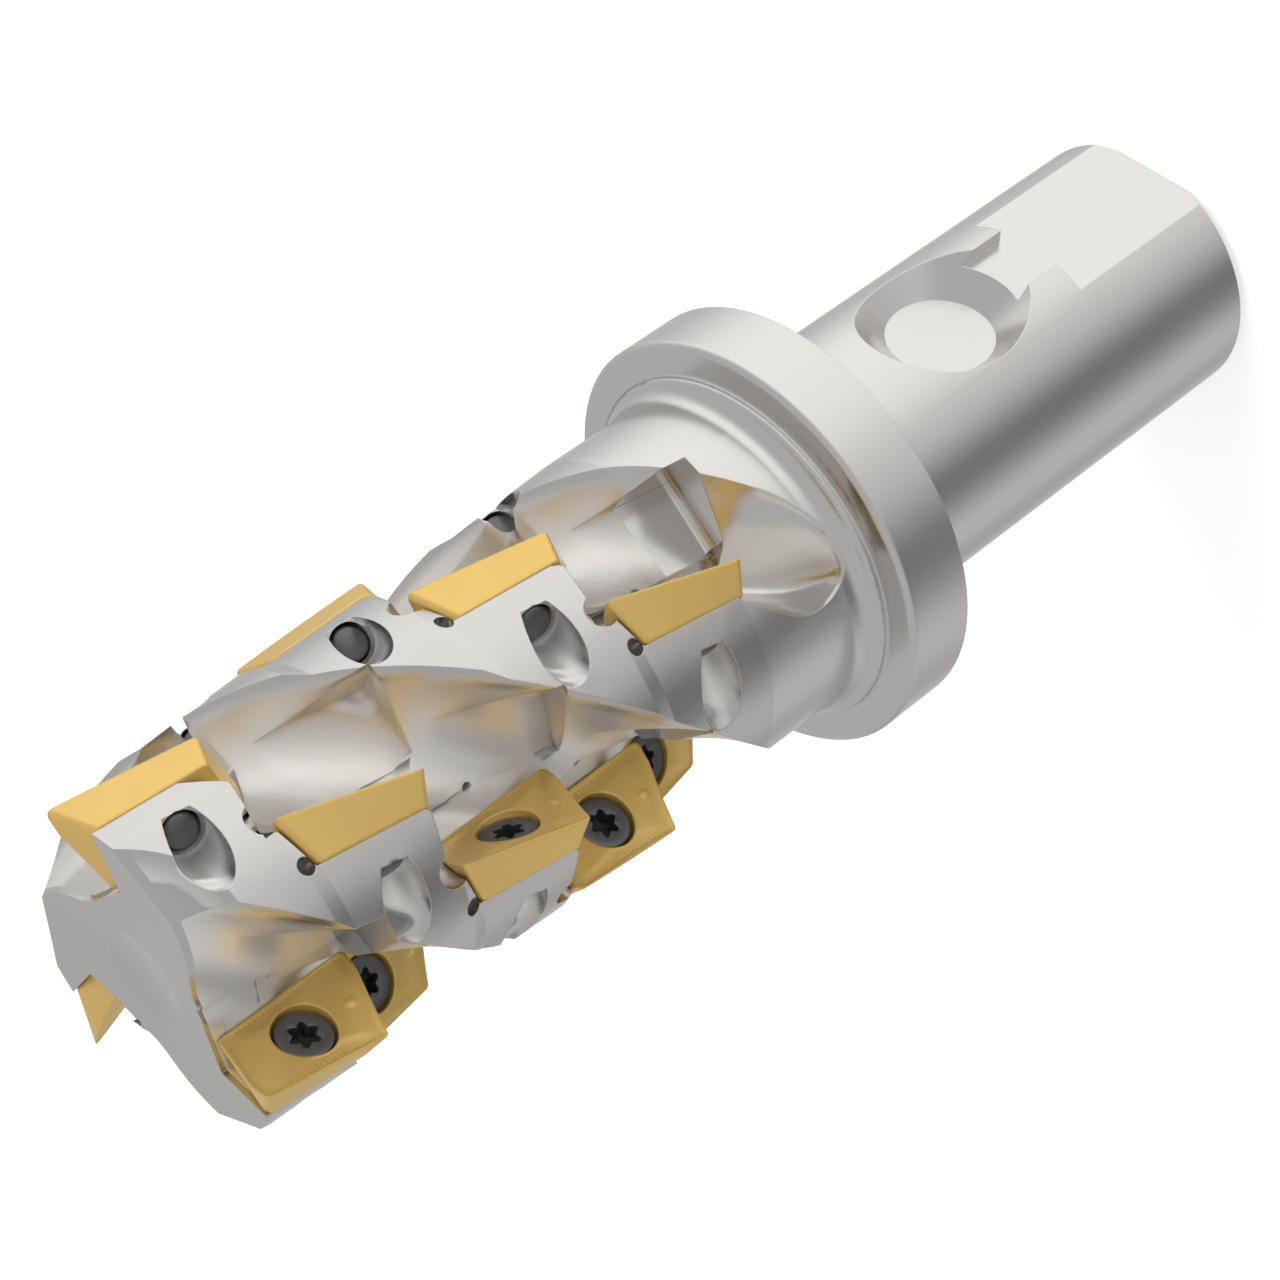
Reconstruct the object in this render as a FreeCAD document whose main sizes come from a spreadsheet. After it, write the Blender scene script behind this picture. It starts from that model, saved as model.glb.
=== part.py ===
import FreeCAD, Part
import Sketcher
import math
import os
from FreeCAD import Matrix, Placement, Vector

# Indexable end mill: a shank with a collar, a 40 mm cutting diameter and three helical flutes that
# carry five inserts each. Origin at the middle of the shank end, +Z toward the cutting end and +X
# the normal of the side-lock flat on the shank. All sizes in millimetres and degrees.

doc = FreeCAD.newDocument("end_mill")
os.makedirs("parts", exist_ok=True)

sheet = doc.addObject("Spreadsheet::Sheet", "Sizes")
SIZES = {
    # shank and collar
    "shank_radius": 16.0,
    "shank_length": 60.0,
    "shank_chamfer": 1.0,
    "flat_distance": 14.0,
    "flat_length": 22.4,
    "strip_width": 8.2,
    "recess_height": 37.0,
    "recess_floor_distance": 11.06,
    "recess_floor_radius": 6.2,
    "collar_radius": 25.0,
    "collar_width": 8.5,
    "collar_chamfer": 0.5,
    "bead_radius": 21.2,
    "bead_height": 1.0,
    "bead_round": 0.5,
    "neck_radius": 19.25,
    "neck_fillet": 2.5,
    "neck_end": 83.5,
    # fluted head
    "front_face": 152.9,
    "land_high": 19.12,
    "land_low": 18.6,
    "band_front": 140.4,
    "band_width": 1.8,
    "row_pitch": 13.956,
    "dish_depth": 0.7,
    "dimple_radius": 3.8,
    "dimple_depth": 0.2,
    "row_turn": 42.446,
    "flute_floor": 9.1,
    # inserts and their screws
    "cutting_radius": 20.0,
    "insert_height": 4.22,
    "screw_radius": 2.0,
    "screw_length": 8.4,
    "head_radius": 3.15,
    "head_top": 3.79,
}
for number, (alias, value) in enumerate(SIZES.items(), start=1):
    sheet.set(f"A{number}", alias)
    sheet.set(f"B{number}", str(value))
    sheet.setAlias(f"B{number}", alias)
doc.recompute()


def size(alias):
    return float(sheet.get(alias))


def origin_plane(body, role):
    for feature in body.Origin.OriginFeatures:
        if feature.Role == role:
            return feature
    raise ValueError(role)


def add_sketch(body, label, role):
    sketch = body.newObject("Sketcher::SketchObject", label)
    sketch.AttachmentSupport = [(origin_plane(body, role), "")]
    sketch.MapMode = "FlatFace"
    return sketch


def bind(sketch, constraint, expression):
    number = sketch.addConstraint(constraint)
    sketch.setExpression(f"Constraints[{number}]", expression)


def draw_profile(sketch, corners, arcs):
    # Each corner is (across, up, across expression, up expression). arcs maps the edge that starts
    # at a corner to (a point on the arc, expression of its radius, radius).
    count = len(corners)
    points = [Vector(corner[0], corner[1], 0) for corner in corners]
    starts = []
    for index in range(count):
        first = points[index]
        second = points[(index + 1) % count]
        if index in arcs:
            middle = arcs[index][0]
            sketch.addGeometry(Part.Arc(first, Vector(middle[0], middle[1], 0), second), False)
        else:
            sketch.addGeometry(Part.LineSegment(first, second), False)
        forward = (sketch.getPoint(index, 1) - first).Length < 1e-4
        starts.append(1 if forward else 2)
    for index in range(count):
        following = (index + 1) % count
        sketch.addConstraint(
            Sketcher.Constraint(
                "Coincident", index, 3 - starts[index], following, starts[following]
            )
        )
    for index, (across, up, across_text, up_text) in enumerate(corners):
        start = starts[index]
        if abs(across) < 1e-9:
            sketch.addConstraint(Sketcher.Constraint("PointOnObject", index, start, -2))
        else:
            constraint = Sketcher.Constraint("DistanceX", -1, 1, index, start, across)
            bind(sketch, constraint, across_text)
        if abs(up) < 1e-9:
            sketch.addConstraint(Sketcher.Constraint("PointOnObject", index, start, -1))
        else:
            constraint = Sketcher.Constraint("DistanceY", -1, 1, index, start, up)
            bind(sketch, constraint, up_text)
    for index, (middle, text, radius) in arcs.items():
        bind(sketch, Sketcher.Constraint("Radius", index, radius), text)


# Revolved blank of the body
shank_radius = size("shank_radius")
shank_length = size("shank_length")
collar_radius = size("collar_radius")
collar_face = shank_length + size("collar_width")
bead_radius = size("bead_radius")
bead_top = collar_face + size("bead_height")
bead_round = size("bead_round")
bead_inner = bead_radius - bead_round
neck_radius = size("neck_radius")
neck_fillet = size("neck_fillet")
fillet_reach = neck_radius + neck_fillet - bead_inner
fillet_top = bead_top + math.sqrt(neck_fillet**2 - fillet_reach**2)
front_face = size("front_face")
ROWS = 5
FLUTES = 3

reach_text = "(Sizes.neck_radius + Sizes.neck_fillet - Sizes.bead_radius + Sizes.bead_round)"
bead_top_text = "Sizes.shank_length + Sizes.collar_width + Sizes.bead_height"
face_text = "Sizes.shank_length + Sizes.collar_width"
corners = [
    (0.0, 0.0, "", ""),
    (shank_radius - size("shank_chamfer"), 0.0, "Sizes.shank_radius - Sizes.shank_chamfer", ""),
    (shank_radius, size("shank_chamfer"), "Sizes.shank_radius", "Sizes.shank_chamfer"),
    (shank_radius, shank_length, "Sizes.shank_radius", "Sizes.shank_length"),
    (collar_radius, shank_length, "Sizes.collar_radius", "Sizes.shank_length"),
    (
        collar_radius,
        collar_face - size("collar_chamfer"),
        "Sizes.collar_radius",
        face_text + " - Sizes.collar_chamfer",
    ),
    (
        collar_radius - size("collar_chamfer"),
        collar_face,
        "Sizes.collar_radius - Sizes.collar_chamfer",
        face_text,
    ),
    (bead_radius, collar_face, "Sizes.bead_radius", face_text),
    (
        bead_radius,
        bead_top - bead_round,
        "Sizes.bead_radius",
        bead_top_text + " - Sizes.bead_round",
    ),
    (bead_inner, bead_top, "Sizes.bead_radius - Sizes.bead_round", bead_top_text),
    (
        neck_radius,
        fillet_top,
        "Sizes.neck_radius",
        bead_top_text + " + sqrt(Sizes.neck_fillet^2 - " + reach_text + "^2)",
    ),
    (neck_radius, size("neck_end"), "Sizes.neck_radius", "Sizes.neck_end"),
]
# The lands form a shallow saw profile: each row's land swells toward the rear and a short band
# steps up to the row ahead of it.
for row in range(ROWS, 1, -1):
    back = size("band_front") - size("band_width") - (row - 2) * size("row_pitch")
    back_text = f"Sizes.band_front - Sizes.band_width - {row - 2} * Sizes.row_pitch"
    corners.append((size("land_low"), back, "Sizes.land_low", back_text))
    corners.append(
        (
            size("land_high"),
            back + size("band_width"),
            "Sizes.land_high",
            back_text + " + Sizes.band_width",
        )
    )
corners.append((size("land_low"), front_face, "Sizes.land_low", "Sizes.front_face"))
corners.append(
    (0.0, front_face - size("dish_depth"), "", "Sizes.front_face - Sizes.dish_depth")
)

blank = doc.addObject("PartDesign::Body", "Blank")
profile = add_sketch(blank, "BlankProfile", "XZ_Plane")
diagonal = math.sqrt(0.5)
round_middle = (
    bead_inner + bead_round * diagonal,
    bead_top - bead_round + bead_round * diagonal,
)
fillet_centre = (neck_radius + neck_fillet, fillet_top)
fillet_turn = 0.5 * math.acos(fillet_reach / neck_fillet)
fillet_middle = (
    fillet_centre[0] - neck_fillet * math.cos(fillet_turn),
    fillet_centre[1] - neck_fillet * math.sin(fillet_turn),
)
arcs = {
    8: (round_middle, "Sizes.bead_round", bead_round),
    9: (fillet_middle, "Sizes.neck_fillet", neck_fillet),
}
draw_profile(profile, corners, arcs)
turned = blank.newObject("PartDesign::Revolution", "Turned")
turned.Profile = profile
turned.ReferenceAxis = (profile, ["V_Axis"])
turned.Angle = 360
doc.recompute()


def feature(label, shape):
    holder = doc.addObject("Part::Feature", label)
    holder.Shape = shape
    return holder


def polar(radius, angle, height=0.0):
    turn = math.radians(angle)
    return Vector(radius * math.cos(turn), radius * math.sin(turn), height)


# Side-lock flat, its narrow strip and the set-screw recess. Cutting shapes run a little past the
# faces that they cut through.
flat_distance = size("flat_distance")
PAST = 1.0
flat_depth = shank_radius - flat_distance + PAST
flat_cut = Part.makeBox(
    flat_depth,
    2 * shank_radius,
    size("flat_length") + PAST,
    Vector(flat_distance, -shank_radius, -PAST),
)
strip_cut = Part.makeBox(
    flat_depth,
    size("strip_width"),
    size("recess_height"),
    Vector(flat_distance, -size("strip_width") / 2, 0.0),
)
recess_floor = size("recess_floor_distance")
recess_depth = shank_radius + PAST - recess_floor
recess_cut = Part.makeCone(
    size("recess_floor_radius"),
    size("recess_floor_radius") + recess_depth,
    recess_depth,
    Vector(recess_floor, 0, size("recess_height")),
    Vector(1, 0, 0),
)
shank_cuts = [flat_cut, strip_cut, recess_cut]

# Seats. Azimuth of the outer front corner of the second-row insert of each flute, and how far
# each flute's rows sit from the first flute's rows along the axis. The flutes are unevenly spaced
# and staggered, so that the cutter runs without chatter.
FLUTE_TURN = (-19.1, 104.03, 222.8)
FLUTE_SHIFT = (0.0, -0.78, 0.34)
BAND_TO_CORNER = 0.24
CORNER_PROUD = 1.09
FIRST_ROW_TURN = 50.5
FIRST_ROW_FORWARD = 0.12
SEAT_TO_CUTTING_EDGE = 5.55
SEAT_BACK = 6.4
CORNER_REACH = 8.435
FIRST_ROW_LONG = Vector(0.014, 0.149, 0.989)
FIRST_ROW_OUT = Vector(0.996, -0.089, 0.0)
ROW_LONG = Vector(0.006, 0.135, 0.991)
ROW_OUT = Vector(0.998, -0.070, 0.004)
second_row_corner = size("band_front") - BAND_TO_CORNER
first_row_corner = front_face + CORNER_PROUD
seat_radial = size("cutting_radius") - SEAT_TO_CUTTING_EDGE


def seat_placement(flute, row):
    if row == 1:
        corner_turn = FLUTE_TURN[flute] + FIRST_ROW_TURN
        height = first_row_corner - CORNER_REACH + FIRST_ROW_FORWARD
        long_axis = Vector(FIRST_ROW_LONG)
        out_axis = FIRST_ROW_OUT
    else:
        corner_turn = FLUTE_TURN[flute] - (row - 2) * size("row_turn")
        height = second_row_corner - (row - 2) * size("row_pitch") - CORNER_REACH
        height += FLUTE_SHIFT[flute]
        long_axis = Vector(ROW_LONG)
        out_axis = ROW_OUT
    long_axis.normalize()
    normal = long_axis.cross(out_axis)
    normal.normalize()
    out_axis = normal.cross(long_axis)
    local = Matrix(
        long_axis.x, out_axis.x, normal.x, seat_radial,
        long_axis.y, out_axis.y, normal.y, -SEAT_BACK,
        long_axis.z, out_axis.z, normal.z, height,
        0, 0, 0, 1,
    )
    turn = Placement(Vector(0, 0, 0), FreeCAD.Rotation(Vector(0, 0, 1), corner_turn))
    return turn.multiply(Placement(local))


# Insert: a parallelogram plan that widens from the seat to the rake face, with a saddle-shaped rake
# that rises toward the two cutting corners, and a countersunk hole. Half of the outline is listed;
# the other half is the same turned by 180 degrees.
SEAT_HALF = ((7.15, 3.36), (6.89, 2.2), (5.62, -3.44))
TOP_HALF = ((9.81, 5.37), (9.9, 2.37), (8.03, -6.71))
CORNER_ROUNDS = (0.8, 2.0, 0.6)
OUTLINE_HEIGHT = 7.0
SADDLE_TWIST = 0.029
SADDLE_HALF = (14.0, 9.0)
SADDLE_DEPTH = 20.0


def full_outline(half):
    return list(half) + [(-x, -y) for x, y in half]


def offset_outline(points, distance):
    # Moves every side of a convex outline outward by the distance
    count = len(points)
    turned_points = []
    for index in range(count):
        before = Vector(*points[index - 1], 0)
        here = Vector(*points[index], 0)
        after = Vector(*points[(index + 1) % count], 0)
        first = (here - before).normalize()
        second = (after - here).normalize()
        first_out = Vector(-first.y, first.x, 0)
        second_out = Vector(-second.y, second.x, 0)
        spread = 1 + first_out.dot(second_out)
        shift = (first_out + second_out) * (distance / spread)
        turned_points.append((here.x + shift.x, here.y + shift.y))
    return turned_points


def rounded_wire(points, rounds, height):
    count = len(points)
    edges = []
    joints = []
    for index in range(count):
        before = Vector(*points[index - 1], height)
        here = Vector(*points[index], height)
        after = Vector(*points[(index + 1) % count], height)
        first = (before - here).normalize()
        second = (after - here).normalize()
        half = math.acos(max(-1.0, min(1.0, first.dot(second)))) / 2
        reach = rounds[index % len(rounds)] / math.tan(half)
        middle_way = (first + second).normalize()
        radius = rounds[index % len(rounds)]
        centre = here + middle_way * (radius / math.sin(half))
        joints.append((here + first * reach, centre - middle_way * radius, here + second * reach))
    for index in range(count):
        start, middle, end = joints[index]
        edges.append(Part.Arc(start, middle, end).toShape())
        edges.append(Part.LineSegment(end, joints[(index + 1) % count][0]).toShape())
    return Part.Wire(edges)


def rake_solid():
    # Everything below the saddle whose height grows with the twist times x times y
    reach_x, reach_y = SADDLE_HALF
    height = size("insert_height")
    rise = SADDLE_TWIST * reach_x * reach_y
    lines = []
    for side in (-1, 1):
        start = Vector(-reach_x, side * reach_y, height - side * rise)
        end = Vector(reach_x, side * reach_y, height + side * rise)
        lines.append(Part.LineSegment(start, end).toShape())
    saddle = Part.makeRuledSurface(lines[0], lines[1])
    return saddle.extrude(Vector(0, 0, -SADDLE_DEPTH))


SEAT_OUTLINE = full_outline(SEAT_HALF)
TOP_OUTLINE = full_outline(TOP_HALF)
head_radius = size("head_radius")
head_top = size("head_top")
screw_radius = size("screw_radius")
HOLE_GAP = 0.15
CONE_HEIGHT = 1.6
RIM_HEIGHT = 0.5
DRIVE_RADIUS = 1.45
DRIVE_DEPTH = 1.5
LOBE_RADIUS = 0.5
LOBES = 6
head_rim = head_top - RIM_HEIGHT
hole_radius = screw_radius + HOLE_GAP
mouth_radius = head_radius + HOLE_GAP


def insert_shape():
    lower = rounded_wire(SEAT_OUTLINE, CORNER_ROUNDS, 0.0)
    upper = rounded_wire(TOP_OUTLINE, CORNER_ROUNDS, OUTLINE_HEIGHT)
    block = Part.makeLoft([lower, upper], True, True)
    block = block.common(rake_solid())
    hole = Part.makeCylinder(hole_radius, OUTLINE_HEIGHT + 2 * PAST, Vector(0, 0, -PAST))
    cone_foot = Vector(0, 0, head_rim - CONE_HEIGHT)
    cone = Part.makeCone(hole_radius, mouth_radius, CONE_HEIGHT, cone_foot)
    mouth = Part.makeCylinder(mouth_radius, OUTLINE_HEIGHT, Vector(0, 0, head_rim))
    return block.cut([hole, cone, mouth])


def screw_shape():
    # Countersunk screw with a six-lobe drive; its cone sits in the insert's countersink
    tip = -size("screw_length") + head_top
    shank = Part.makeCylinder(screw_radius, head_rim - tip, Vector(0, 0, tip))
    cone = Part.makeCone(
        screw_radius, head_radius, CONE_HEIGHT, Vector(0, 0, head_rim - CONE_HEIGHT)
    )
    head = Part.makeCylinder(head_radius, head_top - head_rim, Vector(0, 0, head_rim))
    screw = shank.fuse([cone, head])
    drive_floor = head_top - DRIVE_DEPTH
    drive = Part.makeCylinder(DRIVE_RADIUS, DRIVE_DEPTH + PAST, Vector(0, 0, drive_floor))
    for lobe in range(LOBES):
        centre = polar(DRIVE_RADIUS, lobe * 360.0 / LOBES, drive_floor)
        drive = drive.fuse(Part.makeCylinder(LOBE_RADIUS, DRIVE_DEPTH + PAST, centre))
    return screw.cut(drive).removeSplitter()


insert_master = insert_shape()
screw_master = screw_shape()

# Flutes: closed wires at rising heights, each turned with the helix, lofted into one cutter
LEAD = 360.0 * size("row_pitch") / size("row_turn")
FLUTE_OUTER = 1.4 * neck_radius


def helix_turn(height):
    return (height - second_row_corner) * 360.0 / LEAD


# Section of the flute: share of the way from the rear wall (0) to the heel (1) of the land behind
# it, and share of the way from the flute's floor (0) to the neck's surface (1)
FLUTE_SECTION = (
    (1.057, 1.241),
    (1.0, 1.0),
    (0.87, 0.68),
    (0.72, 0.453),
    (0.58, 0.246),
    (0.46, 0.089),
    (0.34, 0.01),
    (0.2, 0.0),
    (0.1, 0.108),
    (0.035, 0.483),
    (0.0, 1.0),
    (-0.015, 1.369),
)
flute_floor = size("flute_floor")
FULL_WALL = 18.5
FULL_HEEL = 84.7
# Run-out: height above the collar, azimuth of the wall and of the heel ahead of the helix, share
# of full depth
RUN_OUT = (
    (3.3, 47.0, 59.0, 0.02),
    (5.0, 36.0, 67.5, 0.35),
    (7.0, 28.0, 71.3, 0.6),
    (9.5, 21.0, 74.3, 0.8),
    (12.5, 18.0, 78.0, 0.93),
    (15.5, 18.0, 81.5, 0.98),
    (19.5, 18.3, 83.5, 1.0),
)
FLUTE_STEP = 5.5


def section_radius(level, depth):
    if level < 1.0:
        level = 1.0 - (1.0 - level) * depth
    return flute_floor + level * (neck_radius - flute_floor)


def chord_knots():
    width = FULL_HEEL - FULL_WALL
    points = [polar(section_radius(level, 1.0), share * width) for share, level in FLUTE_SECTION]
    lengths = [0.0]
    for before, after in zip(points, points[1:]):
        lengths.append(lengths[-1] + (after - before).Length)
    return [length / lengths[-1] for length in lengths]


FLUTE_KNOTS = chord_knots()


def flute_wire(height, wall, heel, depth):
    points = []
    for share, level in FLUTE_SECTION:
        turn = wall + share * (heel - wall) + helix_turn(height)
        points.append(polar(section_radius(level, depth), turn, height))
    curve = Part.BSplineCurve()
    curve.interpolate(Points=points, Parameters=FLUTE_KNOTS)
    middle = polar(FLUTE_OUTER, (wall + heel) / 2 + helix_turn(height), height)
    back = Part.Arc(points[-1], middle, points[0]).toShape()
    return Part.Wire([curve.toShape(), back])


def flute_cutter():
    wires = []
    for above, wall, heel, depth in RUN_OUT:
        wires.append(flute_wire(collar_face + above, wall, heel, depth))
    height = collar_face + RUN_OUT[-1][0] + FLUTE_STEP
    while height < front_face + 2 * FLUTE_STEP:
        wires.append(flute_wire(height, FULL_WALL, FULL_HEEL, 1.0))
        height += FLUTE_STEP
    return Part.makeLoft(wires, True, False)


# Pocket of one insert, in the insert's own directions: the seat recess that follows the insert's
# flanks with a small gap, and the gash that opens the flute in front of its rake face
SEAT_GAP = 0.12
POCKET_OUT = 12.0
POCKET_ROUNDS = (0.5, 0.6, 1.5, 0.5, 0.5, 1.5)
GASH_FLOOR = -5.4
GASH_LEDGE = 5.8
GASH_SLOPE = 8.0
GASH_REAR = -10.6
GASH_TOP = 16.0
GASH_PLAN = (
    (7.0, GASH_FLOOR), (GASH_REAR, GASH_FLOOR), (-7.6, POCKET_OUT), (13.2, POCKET_OUT)
)
GASH_ROUNDS = (4.5, 1.0, 0.5, 0.5)
RELIEF_RADIUS = 1.85
RELIEF_PLACE = (9.7, 5.1)
SECOND_RELIEF_PLACE = (9.5, 6.4)
CORNER_RADIUS = 0.95
CORNER_PLACE = (8.3, 0.3)
COOLANT_RADIUS = 0.55
COOLANT_PLACE = (-0.3, 7.0)
COOLANT_DEPTH = 5.0


def radial_cutter(place, radius, low, high):
    return Part.makeCylinder(radius, high - low, Vector(place[0], low, place[1]), Vector(0, 1, 0))


# Where the pocket's two end walls reach past the outside of the body, along the insert
SEAT_ENDS = (-3.69, 9.09)
TOP_ENDS = (-6.94, 9.61)


def open_outline(half, rear_end, front_end):
    # The insert's inner half outline, drawn on outward to where the pocket leaves the body
    outer, side, inner = half
    plan = [inner, (-outer[0], -outer[1]), (-side[0], -side[1])]
    return plan + [(rear_end, POCKET_OUT), (front_end, POCKET_OUT), side]


# The front pocket is open ahead of the insert, and its inner wall ends at the rake face, so that
# the flute runs onto it. Points are (outward, off the seat).
FRONT_START = 5.4
FRONT_REACH = 14.0
FRONT_SECTION = ((POCKET_OUT, 0.0), (-3.56, 0.0), (-5.62, 4.4), (-6.5, 7.2), (POCKET_OUT, 7.2))
RIDGE_START = 1.0
RIDGE_SECTION = ((-3.0, 4.4), (-5.62, 4.4), (-6.5, 7.2), (-3.0, 7.2))


def front_block(section, start):
    corners = [Vector(start, across, up) for across, up in section]
    outline = Part.makePolygon(corners + corners[:1])
    return Part.Face(outline).extrude(Vector(FRONT_REACH - start, 0, 0))


def pocket_cutter(relief_place):
    lower_plan = offset_outline(open_outline(SEAT_HALF, *SEAT_ENDS), SEAT_GAP)
    upper_plan = offset_outline(open_outline(TOP_HALF, *TOP_ENDS), SEAT_GAP)
    lower = rounded_wire(lower_plan, POCKET_ROUNDS, 0.0)
    upper = rounded_wire(upper_plan, POCKET_ROUNDS, OUTLINE_HEIGHT)
    recess = Part.makeLoft([lower, upper], True, True)
    outline = rounded_wire(GASH_PLAN, GASH_ROUNDS, 0.0)
    gash = Part.Face(outline).extrude(Vector(0, 0, GASH_TOP))
    reach = 2 * collar_radius
    below = Part.makeBox(2 * reach, 2 * reach, reach, Vector(-reach, -reach, -reach))
    below.Placement = Placement(
        Vector(0, 0, GASH_LEDGE), FreeCAD.Rotation(Vector(0, 1, 0), GASH_SLOPE)
    )
    gash = gash.cut(below)
    parts = [gash, radial_cutter(COOLANT_PLACE, COOLANT_RADIUS, GASH_FLOOR - COOLANT_DEPTH, 0.0)]
    if relief_place:
        parts.append(radial_cutter(relief_place, RELIEF_RADIUS, 0.0, POCKET_OUT))
        parts.append(radial_cutter(CORNER_PLACE, CORNER_RADIUS, -PAST, POCKET_OUT))
    return recess.fuse(parts)


# Screw bore: the thread under the seat and the wider bore behind it, which leans back and leaves
# through the land
BORE_REAR = 2.6
THREAD_LENGTH = 2.6
THREAD_REACH = 7.0
BORE_WAY = Vector(0.06, -0.16, -1.0)
BORE_LENGTH = 14.0


def bore_cutter():
    thread = Part.makeCylinder(hole_radius, THREAD_REACH + PAST, Vector(0, 0, -THREAD_REACH))
    rear = Part.makeCylinder(BORE_REAR, BORE_LENGTH, Vector(0, 0, -THREAD_LENGTH), BORE_WAY)
    return thread.fuse(rear)


# Bevel at the front of each arm's heel: where its plane meets the front face, its tilt from the
# tool axis and its azimuth on the first arm
BEVEL_START = 15.5
BEVEL_TILT = 58.7
BEVEL_TURN = -29.7
BEVEL_BLOCK = 20.0


def bevel_cutter(flute):
    corner = Vector(0, -BEVEL_BLOCK, -BEVEL_BLOCK)
    block = Part.makeBox(BEVEL_BLOCK, 2 * BEVEL_BLOCK, 2 * BEVEL_BLOCK, corner)
    azimuth = FLUTE_TURN[flute] - FLUTE_TURN[0] + BEVEL_TURN
    tilt = FreeCAD.Rotation(Vector(0, 1, 0), BEVEL_TILT - 90)
    turn = FreeCAD.Rotation(Vector(0, 0, 1), azimuth)
    start = polar(BEVEL_START, azimuth, front_face)
    block.Placement = Placement(start, turn.multiply(tilt))
    return block


def turned_about_axis(shape, angle, shift=0.0):
    copy = shape.copy()
    copy.Placement = Placement(
        Vector(0, 0, shift), FreeCAD.Rotation(Vector(0, 0, 1), angle)
    )
    return copy


flute_master = flute_cutter()
front_open = front_block(FRONT_SECTION, FRONT_START)
front_ridge = front_block(RIDGE_SECTION, RIDGE_START)
bore_master = bore_cutter()
FRONT_CUTTERS = (pocket_cutter(None), front_open, front_ridge, bore_master)
ROW_CUTTERS = {1: FRONT_CUTTERS, 2: (pocket_cutter(SECOND_RELIEF_PLACE), bore_master)}
REAR_CUTTERS = (pocket_cutter(RELIEF_PLACE), bore_master)
cuts = list(shank_cuts)
for flute in range(FLUTES):
    cuts.append(turned_about_axis(flute_master, FLUTE_TURN[flute], FLUTE_SHIFT[flute]))
    cuts.append(bevel_cutter(flute))
dimple_radius = size("dimple_radius")
dimple_depth = size("dimple_depth")
ball = (dimple_radius**2 + dimple_depth**2) / (2 * dimple_depth)
face_centre = front_face - size("dish_depth")
cuts.append(Part.makeSphere(ball, Vector(0, 0, face_centre + ball - dimple_depth)))
body_shape = turned.Shape
for tool in cuts:
    volume = body_shape.Volume
    body_shape = body_shape.cut(tool)
    if body_shape.Volume >= volume:
        raise RuntimeError("a cut took nothing off the body")
pocket_cuts = []
for flute in range(FLUTES):
    for row in range(1, ROWS + 1):
        place = seat_placement(flute, row)
        for master in ROW_CUTTERS.get(row, REAR_CUTTERS):
            tool = master.copy()
            tool.Placement = place
            pocket_cuts.append(tool)
body_shape = body_shape.cut(pocket_cuts)
body_shape = max(body_shape.Solids, key=lambda solid: solid.Volume)
nodes = [feature("cutter_body", body_shape)]
for flute in range(FLUTES):
    for row in range(1, ROWS + 1):
        insert = feature(f"insert_{'abc'[flute]}{row}", insert_master.copy())
        insert.Placement = seat_placement(flute, row)
        nodes.append(insert)
for row in range(1, ROWS + 1):
    screws = []
    for flute in range(FLUTES):
        screw = screw_master.copy()
        screw.Placement = seat_placement(flute, row)
        screws.append(screw)
    nodes.append(feature(f"screws_row_{row}", Part.makeCompound(screws)))

doc.recompute()
for item in doc.Objects:
    if "Invalid" in item.State or "Error" in item.State:
        raise RuntimeError(f"{item.Label}: {item.State}")
for node in nodes:
    shape = node.Shape
    if shape.isNull() or not shape.isValid():
        raise RuntimeError(f"{node.Label}: shape not valid")
    box = shape.BoundBox
    print(node.Label, shape.ShapeType, len(shape.Solids), round(shape.Volume, 1),
          [round(v, 2) for v in (box.XMin, box.XMax, box.YMin, box.YMax, box.ZMin, box.ZMax)])
    shape.exportStep(f"parts/{node.Label}.step")
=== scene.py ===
# %% [markdown]
# # An indexable end mill
#
# This is a milling cutter about 154 mm long. Its steel body has a plain shank
# with a clamping flat, a round collar, and a cutting head with three helical
# flutes. Fifteen gold coated carbide inserts stand in pockets along the flutes,
# each held by a small black screw. Everything on it is metal, so most of the
# work here goes into reflections, soft edges and fine surface marks. The inserts
# and the screws are the same few forms repeated, so each is built once and placed
# by a matrix.
#
# The tool stands on the end face of its shank, and its axis is Z.

# %% Load the model
import math

import bmesh
import bpy
import numpy as np
from mathutils import Matrix, Vector


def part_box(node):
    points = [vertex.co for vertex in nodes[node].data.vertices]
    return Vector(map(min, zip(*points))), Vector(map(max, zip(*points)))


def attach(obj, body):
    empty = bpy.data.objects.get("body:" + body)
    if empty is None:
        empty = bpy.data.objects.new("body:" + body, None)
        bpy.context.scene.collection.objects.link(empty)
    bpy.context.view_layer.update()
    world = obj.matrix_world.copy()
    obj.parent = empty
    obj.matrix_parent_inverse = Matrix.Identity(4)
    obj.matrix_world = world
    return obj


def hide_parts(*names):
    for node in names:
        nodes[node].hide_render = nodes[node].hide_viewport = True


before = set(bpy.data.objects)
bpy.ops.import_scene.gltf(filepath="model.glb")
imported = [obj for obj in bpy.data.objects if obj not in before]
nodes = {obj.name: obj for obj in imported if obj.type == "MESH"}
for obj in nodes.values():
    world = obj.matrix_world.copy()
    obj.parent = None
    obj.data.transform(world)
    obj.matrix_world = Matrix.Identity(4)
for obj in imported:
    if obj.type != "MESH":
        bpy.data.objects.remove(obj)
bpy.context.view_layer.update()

MM = 0.001

# %% [markdown]
# ## The camera
#
# The photograph looks down on the tool from in front of the cutting head, with
# the camera rolled so that the head points to the lower left. A rolled camera
# is easiest to write as three directions: to the right in the picture, up in
# the picture, and the way it looks. They are the columns of its matrix.

# %% Camera
CAMERA_PLACE = Vector((254.64, -170.47, 260.63)) * MM
PICTURE_RIGHT = Vector((0.0118, -0.7102, -0.7039))
LOOK = Vector((-0.7243, 0.4792, -0.4957)).normalized()
right = (PICTURE_RIGHT - PICTURE_RIGHT.dot(LOOK) * LOOK).normalized()
up = right.cross(LOOK)

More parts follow.
